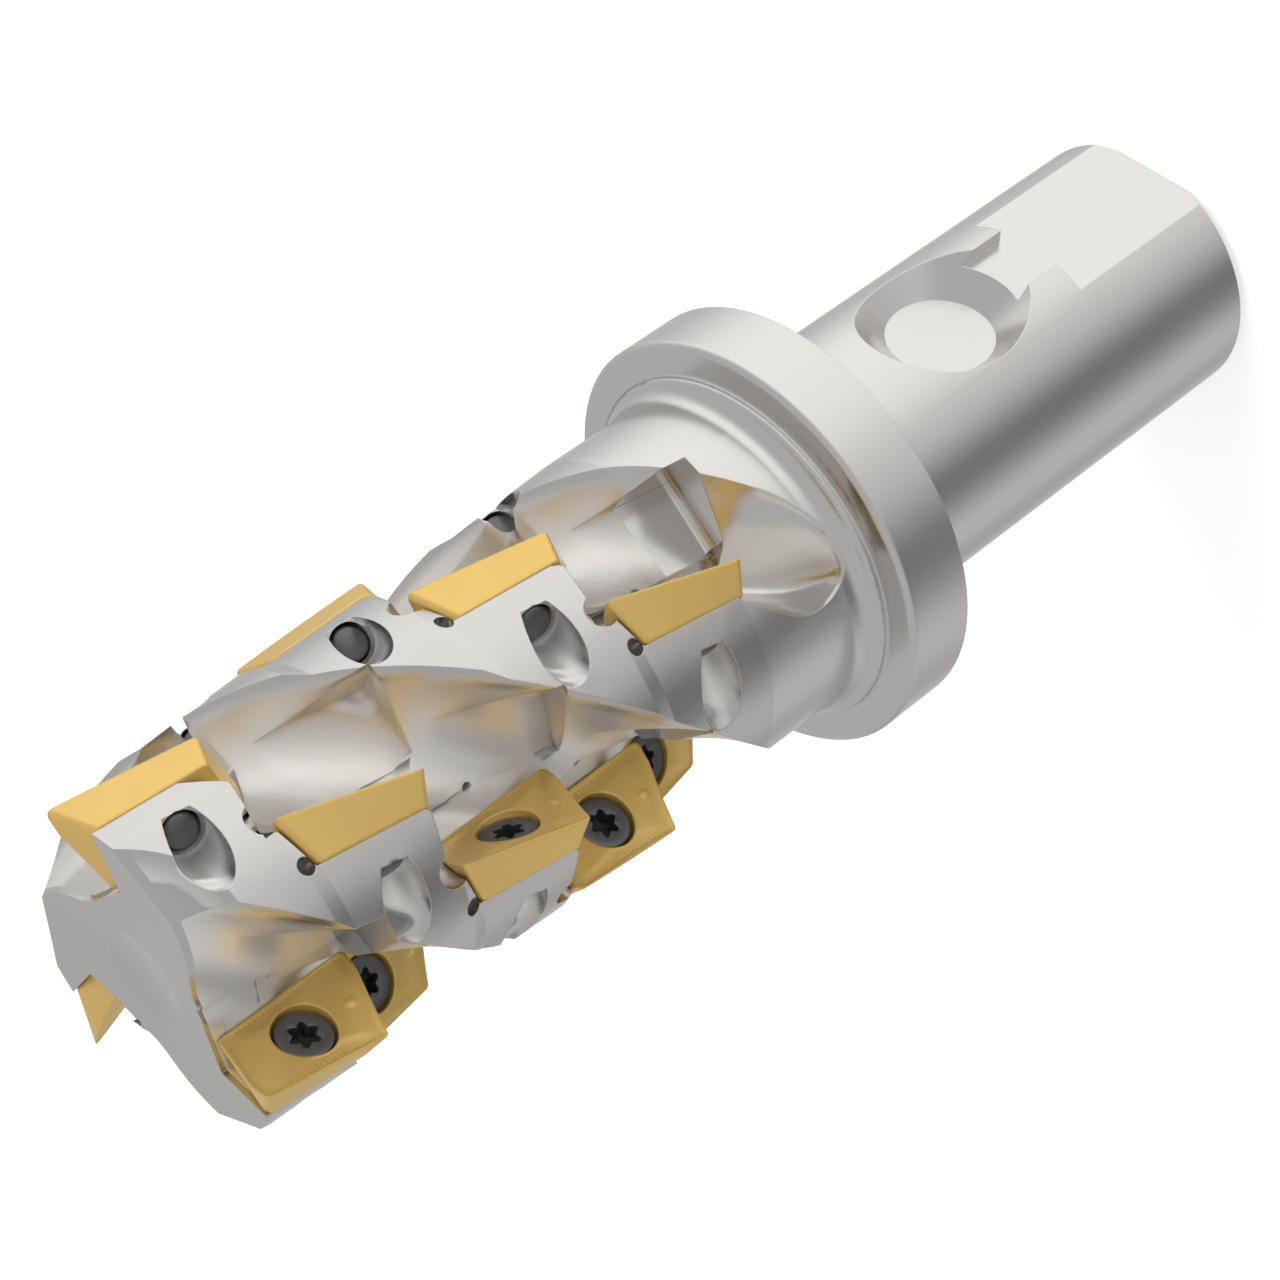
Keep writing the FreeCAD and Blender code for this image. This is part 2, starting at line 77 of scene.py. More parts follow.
camera_data = bpy.data.cameras.new("camera")
camera_data.sensor_fit = "HORIZONTAL"
camera_data.sensor_width = 36.0
camera_data.lens = 93.12
camera_data.clip_start = 0.01
camera_data.clip_end = 20.0
camera = bpy.data.objects.new("camera", camera_data)
axes = Matrix((right, up, -LOOK)).transposed().to_4x4()
camera.matrix_world = Matrix.Translation(CAMERA_PLACE) @ axes
bpy.context.scene.collection.objects.link(camera)
bpy.context.scene.camera = camera
MIDDLE_OF_TOOL = Vector((0, 0, 0.08))
print("camera to the middle of the tool:", round((CAMERA_PLACE - MIDDLE_OF_TOOL).length, 3), "m")

# %% [markdown]
# ## Floor, world and lamps
#
# A product picture of a shiny tool is made in a light tent. The floor is
# white, and the lamps are large and soft. The floor's material adds a little
# light of its own for the rays that come from the camera or from a reflection,
# so it reads as clean white but still darkens where the tool shades it.

# %% Helpers for shader nodes
def new_material(name):
    """A material with an empty node tree; returns it with its tree."""
    material = bpy.data.materials.new(name)
    material.use_nodes = True
    material.node_tree.nodes.clear()
    return material, material.node_tree


def add(tree, kind, **settings):
    """A node with its properties set; sockets are set by name with a leading 'in_'."""
    node = tree.nodes.new(kind)
    for key, value in settings.items():
        if key.startswith("in_"):
            node.inputs[key[3:].replace("_", " ")].default_value = value
        else:
            setattr(node, key, value)
    return node


def join(tree, source, target):
    tree.links.new(source, target)


def math_node(tree, operation, first, second=None, third=None):
    """One step of arithmetic between sockets or numbers."""
    node = tree.nodes.new("ShaderNodeMath")
    node.operation = operation
    for place, value in enumerate((first, second, third)):
        if value is None:
            continue
        if isinstance(value, (int, float)):
            node.inputs[place].default_value = value
        else:
            join(tree, value, node.inputs[place])
    return node.outputs[0]


def seen_directly(tree):
    """1 for rays from the camera, in reflections and through glass, else 0."""
    path = add(tree, "ShaderNodeLightPath")
    total = math_node(tree, "ADD", path.outputs["Is Camera Ray"], path.outputs["Is Glossy Ray"])
    total = math_node(tree, "ADD", total, path.outputs["Is Transmission Ray"])
    return math_node(tree, "MINIMUM", total, 1.0)


# %% World
world = bpy.data.worlds.new("studio")
bpy.context.scene.world = world
world.use_nodes = True
tree = world.node_tree
tree.nodes.clear()
WHITE = (1.0, 1.0, 1.0, 1.0)
soft_light = add(tree, "ShaderNodeBackground", in_Color=(1.0, 0.99, 0.98, 1.0), in_Strength=0.6)
white = add(tree, "ShaderNodeBackground", in_Color=WHITE, in_Strength=1.0)
mix = add(tree, "ShaderNodeMixShader")
output = add(tree, "ShaderNodeOutputWorld")
join(tree, seen_directly(tree), mix.inputs[0])
join(tree, soft_light.outputs[0], mix.inputs[1])
join(tree, white.outputs[0], mix.inputs[2])
join(tree, mix.outputs[0], output.inputs[0])

# %% Floor
FLOOR_HALF = 6.0
FLOOR_HEIGHT = -0.0002
FLOOR_LIFT = 0.42


def flat_sheet(name, half, height):
    """A square sheet of the given half width."""
    mesh = bpy.data.meshes.new(name)
    corners = [(x * half, y * half, height) for x, y in ((-1, -1), (1, -1), (1, 1), (-1, 1))]
    mesh.from_pydata(corners, [], [(0, 1, 2, 3)])
    sheet = bpy.data.objects.new(name, mesh)
    bpy.context.scene.collection.objects.link(sheet)
    return sheet


floor = flat_sheet("floor", FLOOR_HALF, FLOOR_HEIGHT)
material, tree = new_material("white_floor")
paint = add(tree, "ShaderNodeBsdfDiffuse", in_Color=(0.86, 0.86, 0.86, 1.0))
lift = add(tree, "ShaderNodeEmission", in_Color=WHITE)
join(tree, math_node(tree, "MULTIPLY", seen_directly(tree), FLOOR_LIFT), lift.inputs["Strength"])
both = add(tree, "ShaderNodeAddShader")
output = add(tree, "ShaderNodeOutputMaterial")
join(tree, paint.outputs[0], both.inputs[0])
join(tree, lift.outputs[0], both.inputs[1])
join(tree, both.outputs[0], output.inputs[0])
floor.data.materials.append(material)
floor.visible_glossy = False

# %% [markdown]
# ## The light tent
#
# Polished metal has hardly any colour of its own: a cylinder is only read as
# round because it mirrors brighter and darker parts of the room as stripes.
# Photographers hang pale and grey cards round a shiny tool for that. Here the
# cards are one large ball round the scene, which only reflections see. Its
# brightness changes with the compass direction, in degrees from the X axis,
# and a colour ramp holds the pale and grey cards. Their levels were set from
# how bright the photograph's steel is where it mirrors each direction.

# %% Light tent
TENT_RADIUS = 3.0
TENT_ROWS = 24
TENT_COLUMNS = 48
CARDS = (
    # direction in degrees, brightness
    (-180, 0.50), (-168, 0.42), (-150, 0.62), (-130, 0.66), (-112, 0.36), (-92, 0.17), (-76, 0.27),
    (-56, 0.68), (-36, 0.74), (-15, 1.05), (10, 1.15), (35, 1.17), (62, 1.18), (82, 0.9),
    (100, 0.66), (118, 0.52), (135, 0.66), (155, 0.74), (170, 0.52), (180, 0.50),
)
CEILING = 0.56
CEILING_STARTS = -0.1
CEILING_FULL = 0.45


def light_tent():
    """A ball of quads round the studio; the cards' material is put on it below."""
    mesh = bpy.data.meshes.new("light_tent")
    points = []
    for row in range(TENT_ROWS + 1):
        polar = math.pi * row / TENT_ROWS
        for column in range(TENT_COLUMNS):
            turn = 2 * math.pi * column / TENT_COLUMNS
            points.append((TENT_RADIUS * math.sin(polar) * math.cos(turn),
                           TENT_RADIUS * math.sin(polar) * math.sin(turn),
                           TENT_RADIUS * math.cos(polar)))
    quads = []
    for row in range(TENT_ROWS):
        here, below = row * TENT_COLUMNS, (row + 1) * TENT_COLUMNS
        for column in range(TENT_COLUMNS):
            after = (column + 1) % TENT_COLUMNS
            quads.append((here + column, below + column, below + after, here + after))
    mesh.from_pydata(points, [], quads)
    tent = bpy.data.objects.new("light_tent", mesh)
    tent.location = MIDDLE_OF_TOOL
    bpy.context.scene.collection.objects.link(tent)
    return tent


tent = light_tent()
print("tent quads:", len(tent.data.polygons))

# %% [markdown]
# The ball's material turns the direction from the axis into a place on the colour
# ramp. Above the tool the cards blend into an even ceiling. Only reflections may
# see the ball, so it is hidden from the camera and from every other ray.

# %% Cards on the ball
material, tree = new_material("tent_cards")
material.cycles.emission_sampling = "NONE"
place = add(tree, "ShaderNodeTexCoord").outputs["Object"]
split = add(tree, "ShaderNodeSeparateXYZ")
join(tree, place, split.inputs[0])
turn = math_node(tree, "ARCTAN2", split.outputs["Y"], split.outputs["X"])
share = math_node(tree, "MULTIPLY_ADD", turn, 0.5 / math.pi, 0.5)
ramp = add(tree, "ShaderNodeValToRGB")
ramp.color_ramp.interpolation = "B_SPLINE"
while len(ramp.color_ramp.elements) > 1:
    ramp.color_ramp.elements.remove(ramp.color_ramp.elements[-1])
BRIGHTEST = max(level for direction, level in CARDS)
stops = ramp.color_ramp.elements
for order, (direction, level) in enumerate(CARDS):
    position = direction / 360 + 0.5
    stop = stops[0] if order == 0 else stops.new(position)
    stop.position = position
    shade = level / BRIGHTEST
    stop.color = (shade, shade, shade, 1.0)
join(tree, share, ramp.inputs[0])
sides = math_node(tree, "MULTIPLY", ramp.outputs[0], BRIGHTEST)
above = add(tree, "ShaderNodeMapRange", in_Value=0.0)
above.interpolation_type = "SMOOTHSTEP"
above.inputs["From Min"].default_value = CEILING_STARTS * TENT_RADIUS
above.inputs["From Max"].default_value = CEILING_FULL * TENT_RADIUS
join(tree, split.outputs["Z"], above.inputs["Value"])
blend = add(tree, "ShaderNodeMix", data_type="FLOAT")
join(tree, above.outputs[0], blend.inputs[0])
join(tree, sides, blend.inputs[2])
blend.inputs[3].default_value = CEILING
glow = add(tree, "ShaderNodeEmission", in_Color=(1.0, 0.992, 0.98, 1.0))
join(tree, blend.outputs[0], glow.inputs["Strength"])
output = add(tree, "ShaderNodeOutputMaterial")
join(tree, glow.outputs[0], output.inputs[0])
tent.data.materials.append(material)
tent.visible_camera = False
tent.visible_diffuse = False
tent.visible_transmission = False
tent.visible_volume_scatter = False
tent.visible_shadow = False

# %% [markdown]
# Two soft boxes light the matte surfaces and throw the faint shadow on the floor.
# The metal doesn't mirror them, because the tent already gives it its stripes.

# %% Lamps
LAMP_TARGET = (0, 0, 0.05)


def soft_lamp(name, place, size, watts):
    """A square soft box at a place, turned to the tool."""
    data = bpy.data.lights.new(name, "AREA")
    data.shape = "SQUARE"
    data.size = size
    data.energy = watts
    lamp = bpy.data.objects.new(name, data)
    lamp.location = place
    lamp.rotation_euler = (Vector(LAMP_TARGET) - Vector(place)).to_track_quat("-Z", "Y").to_euler()
    lamp.visible_glossy = False
    bpy.context.scene.collection.objects.link(lamp)


soft_lamp("key_lamp", (0.9, 0.5, 1.1), 0.9, 8.0)
soft_lamp("fill_lamp", (-0.5, -1.0, 1.2), 1.0, 4.0)
bpy.context.scene.view_settings.view_transform = "Standard"
print("cards:", len(CARDS), "lamps:", len(bpy.data.lights))

# %% [markdown]
# ## Shader pieces that the metals share
#
# The steel, the gold coating and the black screws use the same shader. Its
# roughness drifts under a noise, and a fine bump sits on the shading normal. A
# bevel in that normal gives every edge the small radius that catches the light,
# without any more faces.

# %% Metal helpers
def principled(tree, colour, metallic, roughness):
    shader = add(tree, "ShaderNodeBsdfPrincipled")
    shader.inputs["Base Color"].default_value = (*colour, 1.0)
    shader.inputs["Metallic"].default_value = metallic
    shader.inputs["Roughness"].default_value = roughness
    output = add(tree, "ShaderNodeOutputMaterial")
    join(tree, shader.outputs[0], output.inputs[0])
    return shader


def noise(tree, coordinates, scale, detail=3.0, rough=0.5):
    node = add(tree, "ShaderNodeTexNoise", in_Scale=scale, in_Detail=detail, in_Roughness=rough)
    join(tree, coordinates, node.inputs["Vector"])
    return node.outputs[0]


def spread(tree, value, low, high, out_low, out_high):
    """Carries a value from one range to another and holds it inside."""
    node = add(tree, "ShaderNodeMapRange")
    join(tree, value, node.inputs["Value"])
    for name, number in (("From Min", low), ("From Max", high),
                         ("To Min", out_low), ("To Max", out_high)):
        node.inputs[name].default_value = number
    return node.outputs[0]


def noise_between(tree, value, out_low, out_high):
    """A noise spread over a range; its own values mostly lie between 0.3 and 0.7."""
    return spread(tree, value, 0.3, 0.7, out_low, out_high)


def finish_normal(tree, shader, height, strength, normal):
    """A fine bump on top of a normal, given to the shader."""
    bump = add(tree, "ShaderNodeBump")
    bump.inputs["Strength"].default_value = strength
    bump.inputs["Distance"].default_value = 0.02 * MM
    join(tree, height, bump.inputs["Height"])
    join(tree, normal, bump.inputs["Normal"])
    join(tree, bump.outputs[0], shader.inputs["Normal"])


def scaled(tree, vector, factor):
    node = add(tree, "ShaderNodeVectorMath", operation="SCALE")
    join(tree, vector, node.inputs[0])
    join(tree, factor, node.inputs["Scale"])
    return node.outputs[0]


def unit(tree, vector):
    node = add(tree, "ShaderNodeVectorMath", operation="NORMALIZE")
    join(tree, vector, node.inputs[0])
    return node.outputs[0]


def colour_mix(tree, factor, first, second):
    """A mix of two colours, each a socket or three numbers."""
    node = add(tree, "ShaderNodeMix", data_type="RGBA")
    join(tree, factor, node.inputs[0])
    for place, colour in ((6, first), (7, second)):
        if isinstance(colour, tuple):
            node.inputs[place].default_value = (*colour, 1.0)
        else:
            join(tree, colour, node.inputs[place])
    return node.outputs[2]


# %% [markdown]
# ## Milled flutes
#
# The cuts that open the pockets leave flats in the flutes of the construction
# model. In the photograph each flute reads as one soft channel, so the shading
# normal is drawn most of the way toward that of a round helical channel. Its
# middle is a helix that climbs with the rows of inserts, so at any height it is
# a point on a circle, and the channel's normal points from the surface to it. The
# tilt along the tool comes from the helix too: the normal has no part along the
# way that the helix carries a point.

# %% Flutes and rows, in degrees and millimetres
FLUTE_TURN = (-19.1, 104.03, 222.8)
FLUTE_SHIFT = (0.0, -0.78, 0.34)
ROW_TURN = 42.446
ROW_PITCH = 13.956
SECOND_ROW = 140.16
CHANNEL_TURN = 51.6
CHANNEL_MIDDLE = 19.84 * MM
CHANNEL_REACH = (12.6 * MM, 14.2 * MM)
CHANNEL_SHARE = 0.8
HELIX_RATE = math.radians(ROW_TURN) / (ROW_PITCH * MM)


def channel_arrow(tree, place, turn, shift):
    """The normal of one flute's round channel, and the distance from the channel's middle."""
    x, y, z = place
    start = math.radians(turn + CHANNEL_TURN) - HELIX_RATE * (SECOND_ROW + shift) * MM
    angle = math_node(tree, "MULTIPLY_ADD", z, HELIX_RATE, start)
    middle_x = math_node(tree, "MULTIPLY", math_node(tree, "COSINE", angle), CHANNEL_MIDDLE)
    middle_y = math_node(tree, "MULTIPLY", math_node(tree, "SINE", angle), CHANNEL_MIDDLE)
    toward_x = math_node(tree, "SUBTRACT", middle_x, x)
    toward_y = math_node(tree, "SUBTRACT", middle_y, y)
    square = math_node(tree, "MULTIPLY", toward_y, toward_y)
    square = math_node(tree, "MULTIPLY_ADD", toward_x, toward_x, square)
    distance = math_node(tree, "SQRT", square)
    along_x = math_node(tree, "DIVIDE", toward_x, distance)
    along_y = math_node(tree, "DIVIDE", toward_y, distance)
    swirl = math_node(tree, "SUBTRACT", math_node(tree, "MULTIPLY", y, along_x),
                      math_node(tree, "MULTIPLY", x, along_y))
    arrow = add(tree, "ShaderNodeCombineXYZ")
    tilt = math_node(tree, "MULTIPLY", swirl, HELIX_RATE)
    for socket, value in enumerate((along_x, along_y, tilt)):
        join(tree, value, arrow.inputs[socket])
    return unit(tree, arrow.outputs[0]), distance


def channel_normal(tree, place, plain, milled):
    """The plain normal, drawn toward that of a round channel inside each flute."""
    used = None
    parts = []
    for turn, shift in zip(FLUTE_TURN, FLUTE_SHIFT):
        arrow, distance = channel_arrow(tree, place, turn, shift)
        near = spread(tree, distance, *CHANNEL_REACH, CHANNEL_SHARE, 0.0)
        inside = math_node(tree, "MULTIPLY", near, milled)
        parts.append(scaled(tree, arrow, inside))
        used = inside if used is None else math_node(tree, "ADD", used, inside)
    total = scaled(tree, plain, math_node(tree, "SUBTRACT", 1.0, used))
    for part in parts:
        both = add(tree, "ShaderNodeVectorMath", operation="ADD")
        join(tree, total, both.inputs[0])
        join(tree, part, both.inputs[1])
        total = both.outputs[0]
    return unit(tree, total)


# %% [markdown]
# ## Bright steel
#
# The body is turned, ground and milled steel with a thin bright finish. Metal
# in this shader takes its colour from the base colour and all its life from
# the roughness. Two noises do the work: a coarse one lets the gloss drift from
# place to place, and a fine one is the grain. The turned parts also carry rings
# too fine to count, which only show as a slight stretch in the highlights.
#
# The head is a little darker than the shank. Where the body is milled, which is
# above the neck and near the axis, the steel is paler and more matte: a mask of
# the distance from the axis lowers the metallic share and raises the roughness.
# The mask stops below the front face, which stays plain steel.

# %% Steel colours and places
STEEL = (0.70, 0.675, 0.655)
HEAD_STEEL = (0.635, 0.615, 0.598)
MILLED_STEEL = (0.82, 0.79, 0.76)
MILLED_INSIDE = 17.0 * MM
MILLED_OUTSIDE = 18.4 * MM
MILLED_METALLIC = 0.66
MILLED_ROUGHER = 0.13
HEAD_BOTTOM = 84.0 * MM
FRONT_FACE = 152.0 * MM
EDGE_OUTSIDE = 0.16 * MM
EDGE_MILLED = 1.7 * MM
EDGE_BEAD = 0.5 * MM
BEAD_HEIGHT = 71.0 * MM
BEAD_REACH = 4.0 * MM
DRIFT_SCALE = 55.0
GRAIN_SCALE = 2600.0
RING_SCALE = (60.0, 60.0, 9000.0)
RING_SHARE = 0.6

# %% Steel
def distance_from_axis(tree, place):
    squares = [math_node(tree, "POWER", side, 2.0) for side in place[:2]]
    return math_node(tree, "SQRT", math_node(tree, "ADD", *squares))


def edge_radius(tree, height, milled):
    """The bevel's radius: large in the flutes, middling at the collar's bead, else small."""
    from_bead = math_node(tree, "ABSOLUTE", math_node(tree, "SUBTRACT", height, BEAD_HEIGHT))
    radius = spread(tree, milled, 0.0, 1.0, EDGE_OUTSIDE, EDGE_MILLED)
    bead = spread(tree, from_bead, 0.8 * BEAD_REACH, BEAD_REACH, EDGE_BEAD, 0.0)
    return math_node(tree, "ADD", radius, bead)


def steel_material():
    material, tree = new_material("bright_steel")
    shader = principled(tree, STEEL, 1.0, 0.26)
    coordinates = add(tree, "ShaderNodeTexCoord").outputs["Object"]
    split = add(tree, "ShaderNodeSeparateXYZ")
    join(tree, coordinates, split.inputs[0])
    place = (split.outputs["X"], split.outputs["Y"], split.outputs["Z"])
    head = math_node(tree, "GREATER_THAN", place[2], HEAD_BOTTOM)
    from_axis = distance_from_axis(tree, place)
    milled = spread(tree, from_axis, MILLED_INSIDE, MILLED_OUTSIDE, 1.0, 0.0)
    milled = math_node(tree, "MULTIPLY", milled, head)
    behind_front = math_node(tree, "LESS_THAN", place[2], FRONT_FACE)
    milled = math_node(tree, "MULTIPLY", milled, behind_front)
    turned = colour_mix(tree, head, STEEL, HEAD_STEEL)
    join(tree, colour_mix(tree, milled, turned, MILLED_STEEL), shader.inputs["Base Color"])
    join(tree, spread(tree, milled, 0.0, 1.0, 1.0, MILLED_METALLIC), shader.inputs["Metallic"])
    grain = noise(tree, coordinates, GRAIN_SCALE, 2.0)
    drift = noise_between(tree, noise(tree, coordinates, DRIFT_SCALE, 2.0), 0.19, 0.25)
    roughness = math_node(tree, "ADD", drift, noise_between(tree, grain, -0.01, 0.01))
    roughness = math_node(tree, "MULTIPLY_ADD", milled, MILLED_ROUGHER, roughness)
    join(tree, roughness, shader.inputs["Roughness"])
    rings = add(tree, "ShaderNodeMapping")
    rings.inputs["Scale"].default_value = RING_SCALE
    join(tree, coordinates, rings.inputs["Vector"])
    ring_marks = math_node(tree, "MULTIPLY", noise(tree, rings.outputs[0], 1.0, 2.0), RING_SHARE)
    grain_marks = math_node(tree, "MULTIPLY", grain, 1.0 - RING_SHARE)
    height = math_node(tree, "ADD", ring_marks, grain_marks)
    edge = add(tree, "ShaderNodeBevel", samples=8)
    join(tree, edge_radius(tree, place[2], milled), edge.inputs["Radius"])
    normal = channel_normal(tree, place, edge.outputs[0], milled)
    finish_normal(tree, shader, height, 0.035, normal)
    return material


def wear(material, *names):
    """Puts one material on every face of the named nodes."""
    for name in names:
        slots = nodes[name].data.materials
        if len(slots) == 0:
            slots.append(material)
        for place in range(len(slots)):
            slots[place] = material


steel = steel_material()
wear(steel, "cutter_body")
print("steel nodes:", len(steel.node_tree.nodes))

# %% [markdown]
# ## The body
#
# Where a flute and a pocket nearly meet at the front face, the construction
# model keeps a thin sliver of steel that the photograph doesn't show. The piece
# below is the same body with that sliver pressed back: its few points move
# straight toward the axis, to the sliver's foot.

# %% Body without the burr
BURR_TURN = (162.0, 171.5)
BURR_BOTTOM = 151.3 * MM
BURR_FOOT = 9.5 * MM
BURR_OUTSIDE = 14.2 * MM


def body_without_burr():
    """A copy of the body's mesh with the sliver's points moved to its foot."""
    mesh = nodes["cutter_body"].data.copy()
    mesh.name = "filed_body"
    moved = 0
    for vertex in mesh.vertices:
        x, y, z = vertex.co
        radius = math.hypot(x, y)
        turn = math.degrees(math.atan2(y, x))
        beside = BURR_TURN[0] < turn < BURR_TURN[1]
        if beside and z > BURR_BOTTOM and BURR_FOOT < radius < BURR_OUTSIDE:
            share = BURR_FOOT / radius
            vertex.co = (x * share, y * share, z)
            moved += 1
    print("burr points pressed back:", moved)
    return mesh


body = bpy.data.objects.new("filed_body", body_without_burr())
bpy.context.scene.collection.objects.link(body)
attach(body, "root")
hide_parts("cutter_body")

# %% [markdown]
# ## The inserts
#
# Each insert is a flat parallelogram of sintered carbide. Its sides lean
# outward from the seat to the cutting edges, its top is a twisted saddle that
# lifts the two cutting corners, and a countersunk hole goes through the middle.
# One mesh is enough for all fifteen. It is built as closed rings of points that
# run over the whole skin: out along the bottom, up the sides, over the rounded
# cutting edge, across the top and down the hole. Rings keep the faces even, so
# the small forms pressed into the top can be real height and not only bump.
#
# A side is straight between two outlines, one at the seat and one 7 mm above
# it. Half of each outline is enough: the other half is the same turned by 180
# degrees.

# %% Insert sizes, in millimetres
SEAT_HALF = ((7.15, 3.36), (6.89, 2.2), (5.62, -3.44))
TOP_HALF = ((9.81, 5.37), (9.9, 2.37), (8.03, -6.71))
CORNER_ROUNDS = (0.8, 2.0, 0.6)
OUTLINE_HEIGHT = 7.0
INSERT_HEIGHT = 4.22
SADDLE_TWIST = 0.029
HOLE_RADIUS = 2.15
MOUTH_RADIUS = 3.3
MOUTH_FLOOR = 3.29
CONE_FOOT = 1.69
EDGE_ROUND = 0.2
ARC_POINTS = 8
SIDE_STEPS = (6, 30, 120)

# %% Outlines of the insert
def saddle(x, y):
    """Height of the insert's top over a point of its seat."""
    return INSERT_HEIGHT + SADDLE_TWIST * x * y


def rounded_outline(half):
    """The outline's points with arcs at the corners, counted the same way at every height."""
    corners = [Vector(corner) for corner in half]
    corners += [-corner for corner in corners]
    count = len(corners)
    arcs = []
    for index, corner in enumerate(corners):
        back = (corners[index - 1] - corner).normalized()
        ahead = (corners[(index + 1) % count] - corner).normalized()
        half_angle = math.acos(max(-1.0, min(1.0, back.dot(ahead)))) / 2
        radius = CORNER_ROUNDS[index % 3]
        middle = (back + ahead).normalized()
        centre = corner + middle * (radius / math.sin(half_angle))
        reach = radius / math.tan(half_angle)
        start = corner + back * reach - centre
        end = corner + ahead * reach - centre
        arc = []
        for step in range(ARC_POINTS):
            share = step / (ARC_POINTS - 1)
            way = start.lerp(end, share)
            arc.append(centre + way.normalized() * radius)
        arcs.append(arc)
    points = []
    for index, arc in enumerate(arcs):
        points += arc
        after = arcs[(index + 1) % count][0]
        steps = SIDE_STEPS[index % 3]
        for step in range(1, steps):
            points.append(arc[-1].lerp(after, step / steps))
    return np.array([tuple(point) for point in points])


# %% [markdown]
# Pressing leaves a shallow groove behind a narrow land along the edge, fine chip
# ribs beside the long edges and an index dot at one end. Each is a height that
# fades in and out with the distance inward of the edge or along the insert.

# %% Pressed forms, in millimetres
GROOVE_HEIGHT = -0.1
GROOVE_BEGINS = (0.25, 0.8)
GROOVE_ENDS = (1.3, 3.2)
RIB_HEIGHT = 0.03
RIB_PITCH = 0.56
RIBS_BEGIN = (0.4, 0.65)
RIBS_END = (0.95, 1.5)
RIBS_ALONG = (5.0, 6.4)
RIBS_BESIDE = (3.2, 4.2)
DOT_HEIGHT = 0.2
DOT_ALONG = -6.1
DOT_RADIUS = (0.3, 0.62)


def step_up(value, low, high):
    """0 below low, 1 above high, smooth between."""
    share = np.clip((value - low) / (high - low), 0.0, 1.0)
    return share * share * (3 - 2 * share)


def pressed_forms(x, y, inward):
    """Height that pressing adds to the top, from the distance inward of the edge."""
    groove = GROOVE_HEIGHT * step_up(inward, *GROOVE_BEGINS) * (1 - step_up(inward, *GROOVE_ENDS))
    ribs = RIB_HEIGHT * np.cos(2 * math.pi * x / RIB_PITCH)
    ribs *= step_up(inward, *RIBS_BEGIN) * (1 - step_up(inward, *RIBS_END))
    ribs *= (1 - step_up(np.abs(x), *RIBS_ALONG)) * step_up(np.abs(y), *RIBS_BESIDE)
    far = np.hypot(x - DOT_ALONG, y)
    dot = DOT_HEIGHT * (1 - step_up(far, *DOT_RADIUS))
    return groove + ribs + dot


# %% [markdown]
# Now the rings, in the order in which they run over the skin. The edge isn't
# level, because the saddle lifts two corners and the sides lean, so its height
# is found by a few rounds of trying.

# %% Rings of the insert's skin
SEAT_INSETS = (0.55, 0.2)
FLANK_SHARES = (0.045, 0.08, 0.3, 0.55, 0.8)
EDGE_SHARES = (0.0, 0.25, 0.5, 0.75, 1.0)
TOP_SHARES = (0.05, 0.075, 0.1, 0.125, 0.15, 0.18, 0.21, 0.25, 0.3, 0.36, 0.43, 0.5, 0.58,
              0.66, 0.74, 0.82, 0.9, 0.96)


def ring_at(plan, height):
    """A ring of points over a plan, at one height or at a height for each point."""
    return np.column_stack((plan, np.broadcast_to(height, len(plan))))


seat_plan = rounded_outline(SEAT_HALF)
top_plan = rounded_outline(TOP_HALF)


def side_plan(height):
    """The outline at a height, or at a height for each point."""
    share = (np.asarray(height) / OUTLINE_HEIGHT).reshape(-1, 1)
    return seat_plan + (top_plan - seat_plan) * share


rim = np.full(len(seat_plan), INSERT_HEIGHT)
for attempt in range(12):
    plan = side_plan(rim)
    rim = saddle(plan[:, 0], plan[:, 1])
edge_plan = side_plan(rim)
outward = edge_plan / np.linalg.norm(edge_plan, axis=1, keepdims=True)

rings = [ring_at(outward * HOLE_RADIUS, 0.0)]
for inset in SEAT_INSETS:
    rings.append(ring_at(seat_plan - outward * inset, 0.0))
rings.append(ring_at(side_plan(0.06) - outward * 0.06, 0.02))
for share in FLANK_SHARES:
    height = rim * share
    rings.append(ring_at(side_plan(height), height))
low = rim - EDGE_ROUND
rings.append(ring_at(side_plan(low - 0.12), low - 0.12))
flank_point = ring_at(side_plan(low), low)
edge_point = ring_at(edge_plan, rim)
land_plan = edge_plan - outward * EDGE_ROUND
land_point = ring_at(land_plan, saddle(land_plan[:, 0], land_plan[:, 1]))
for share in EDGE_SHARES:
    left = 1 - share
    rings.append(flank_point * left**2 + 2 * edge_point * share * left + land_point * share**2)
mouth_plan = outward * (MOUTH_RADIUS + 0.12)
across = np.linalg.norm(edge_plan - mouth_plan, axis=1)
for share in TOP_SHARES:
    inward = EDGE_ROUND + share * (across - EDGE_ROUND)
    plan = edge_plan - outward * inward.reshape(-1, 1)
    height = saddle(plan[:, 0], plan[:, 1]) + pressed_forms(plan[:, 0], plan[:, 1], inward)
    rings.append(ring_at(plan, height))
mouth_height = saddle(mouth_plan[:, 0], mouth_plan[:, 1])
rings.append(ring_at(mouth_plan, mouth_height))
rings.append(ring_at(outward * (MOUTH_RADIUS + 0.03), mouth_height - 0.03))
rings.append(ring_at(outward * MOUTH_RADIUS, mouth_height - 0.12))
rings.append(ring_at(outward * MOUTH_RADIUS, MOUTH_FLOOR))
rings.append(ring_at(outward * (MOUTH_RADIUS - 0.04), MOUTH_FLOOR - 0.05))
rings.append(ring_at(outward * HOLE_RADIUS, CONE_FOOT))
rings.append(ring_at(outward * HOLE_RADIUS, CONE_FOOT - 0.1))
print("insert skin:", len(rings), "rings of", len(seat_plan), "points")

